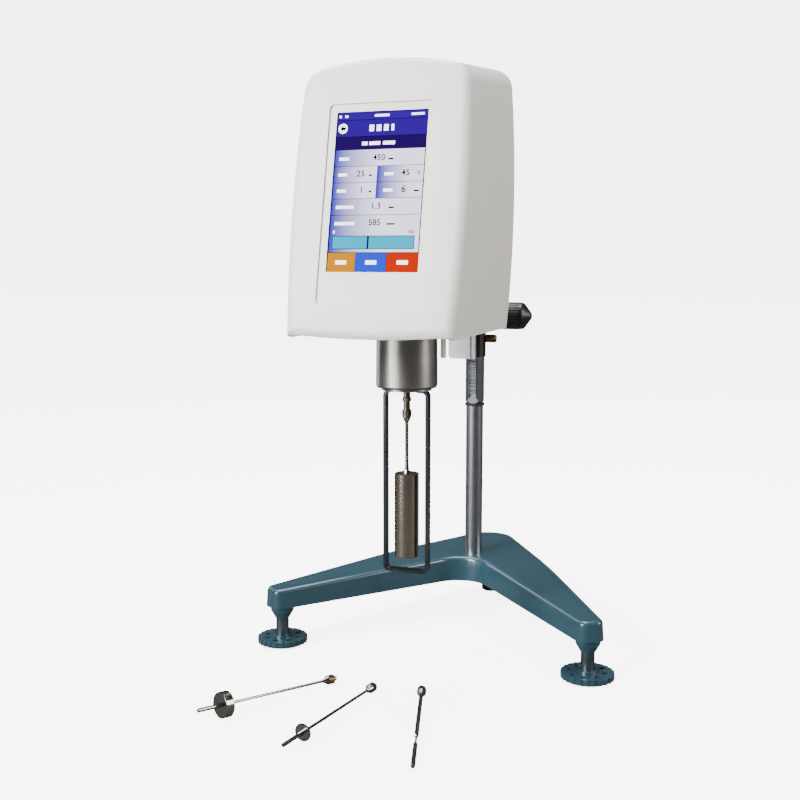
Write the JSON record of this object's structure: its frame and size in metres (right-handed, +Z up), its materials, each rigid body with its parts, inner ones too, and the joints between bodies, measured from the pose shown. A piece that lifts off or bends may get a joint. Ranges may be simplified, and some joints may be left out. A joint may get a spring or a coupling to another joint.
{
  "type": "rotational viscometer",
  "caption": "Bench rotational viscometer: a head with a touch screen, a torque shaft and spindle in a guard, carried on a rack column over a V-shaped stand with levelling feet.",
  "frame": {"origin": "the point on the bench under the spindle axis", "axes": "+Z up, the screen faces -Y, +X to the right of someone who faces the screen"},
  "size_m": [0.302, 0.4256, 0.4731],
  "materials": {
    "teal_paint": "glossy teal stand paint",
    "shell": "off-white moulded shell, satin",
    "panel_grey": "light grey powder coat",
    "ground_steel": "ground steel rod",
    "brushed_cup": "turned and brushed steel",
    "bright_steel": "bright machined steel",
    "turned_brass": "turned brass",
    "black_plastic": "black moulded plastic",
    "dark_rubber": "rubber",
    "cast_alloy": "machined alloy",
    "screen_glass": "touch screen glass",
    "vial": "spirit level vial",
    "board": "circuit board and screen module"
  },
  "bodies": {
    "stand": {"base_casting": "teal_paint", "rear_foot": "dark_rubber", "column": "ground_steel", "rack": "ground_steel", "column_cap": "black_plastic", "stop_ring": "dark_rubber", "column_nut": "bright_steel"},
    "left_glide": {"foot_glide_left": "black_plastic"},
    "left_screw": {"foot_wheel_left": "teal_paint", "foot_stem_left": "ground_steel"},
    "right_glide": {"foot_glide_right": "black_plastic"},
    "right_screw": {"foot_wheel_right": "teal_paint", "foot_stem_right": "ground_steel"},
    "carriage": {"lift_block": "cast_alloy", "lower_bush": "black_plastic", "upper_bush": "black_plastic", "pinion_bushes": "turned_brass", "support_rod": "ground_steel", "rod_clamp_screw": "bright_steel", "head_hood": "shell", "back_panel": "panel_grey", "bottom_plate": "panel_grey", "plate_screws": "bright_steel", "panel_screws": "bright_steel", "temperature_tip": "shell", "level_vial": "vial", "display_glass": "screen_glass", "display_module": "board", "cup": "brushed_cup", "guard_ring": "brushed_cup", "guard_bracket": "brushed_cup", "chassis": "bright_steel", "main_board": "board", "spindle_housing": "cast_alloy", "spindle_bearings": "bright_steel", "motor": "bright_steel", "motor_bracket": "bright_steel", "switch_housing": "black_plastic", "power_inlet": "black_plastic", "data_port": "cast_alloy"},
    "lift_pinion": {"pinion_shaft": "bright_steel", "lift_knob": "black_plastic"},
    "lock": {"lock_screw": "turned_brass"},
    "drive": {"drive_tube": "cast_alloy", "drive_gear": "turned_brass", "drive_disc": "cast_alloy", "hairspring": "bright_steel"},
    "motor_rotor": {"motor_pinion": "bright_steel"},
    "spindle": {"spindle_shaft": "brushed_cup", "spindle_disc": "bright_steel", "drive_stud": "brushed_cup", "spindle_nut": "cast_alloy", "spindle_1": "brushed_cup"},
    "rocker": {"switch_rocker": "black_plastic"},
    "spare_2": {"spindle_2": "bright_steel", "spindle_nut_2": "turned_brass"},
    "spare_3": {"spindle_3": "bright_steel", "spindle_nut_3": "turned_brass"},
    "spare_4": {"spindle_4": "bright_steel", "spindle_nut_4": "turned_brass"}
  },
  "joints": [
    {"name": "head_lift", "type": "slide", "parent": "stand", "child": "carriage", "axis": [0, 0, 1], "range_m": [-0.038, 0.085]},
    {"name": "knob_turn", "type": "hinge", "parent": "carriage", "child": "lift_pinion", "pos_m": [0, 0.1821, 0.2748], "axis": [1, 0, 0], "range_deg": [-900, 420]},
    {"name": "lock_turn", "type": "hinge", "parent": "carriage", "child": "lock", "pos_m": [0, 0.195, 0.2534], "axis": [1, 0, 0], "range_deg": [-30, 180]},
    {"name": "left_foot_travel", "type": "slide", "parent": "stand", "child": "left_glide", "axis": [0, 0, -1], "range_m": [-0.004, 0.008]},
    {"name": "left_foot_turn", "type": "hinge", "parent": "left_glide", "child": "left_screw", "pos_m": [-0.13, 0.055, 0], "axis": [0, 0, -1], "range_deg": [-1000, 1960]},
    {"name": "right_foot_travel", "type": "slide", "parent": "stand", "child": "right_glide", "axis": [0, 0, -1], "range_m": [-0.004, 0.008]},
    {"name": "right_foot_turn", "type": "hinge", "parent": "right_glide", "child": "right_screw", "pos_m": [0.13, 0.055, 0], "axis": [0, 0, -1], "range_deg": [-1000, 1960]},
    {"name": "drive_spin", "type": "hinge", "parent": "carriage", "child": "drive", "pos_m": [0, 0, 0.3], "axis": [0, 0, 1], "continuous": true},
    {"name": "motor_spin", "type": "hinge", "parent": "carriage", "child": "motor_rotor", "pos_m": [0.0241, 0, 0.323], "axis": [0, 0, 1], "continuous": true},
    {"name": "spindle_deflection", "type": "hinge", "parent": "drive", "child": "spindle", "pos_m": [0, 0, 0.3], "axis": [0, 0, 1], "range_deg": [-85, 85], "stiffness_Nm_per_rad": 0.00005},
    {"name": "power_rocker", "type": "hinge", "parent": "carriage", "child": "rocker", "pos_m": [-0.034, 0.069, 0.33], "axis": [1, 0, 0], "range_deg": [-18, 0]},
    {"name": "spare_2_lift_off", "type": "slide", "parent": "stand", "child": "spare_2", "axis": [0, 0, 1], "range_m": [0, 0.15]},
    {"name": "spare_3_lift_off", "type": "slide", "parent": "stand", "child": "spare_3", "axis": [0, 0, 1], "range_m": [0, 0.15]},
    {"name": "spare_4_lift_off", "type": "slide", "parent": "stand", "child": "spare_4", "axis": [0, 0, 1], "range_m": [0, 0.15]}
  ],
  "couplings": [
    {"joint": "knob_turn", "follows": "head_lift", "rad_per_m": -178.57},
    {"joint": "left_foot_turn", "follows": "left_foot_travel", "rad_per_m": 4188.8},
    {"joint": "right_foot_turn", "follows": "right_foot_travel", "rad_per_m": 4188.8},
    {"joint": "motor_spin", "follows": "drive_spin", "ratio": -3}
  ]
}
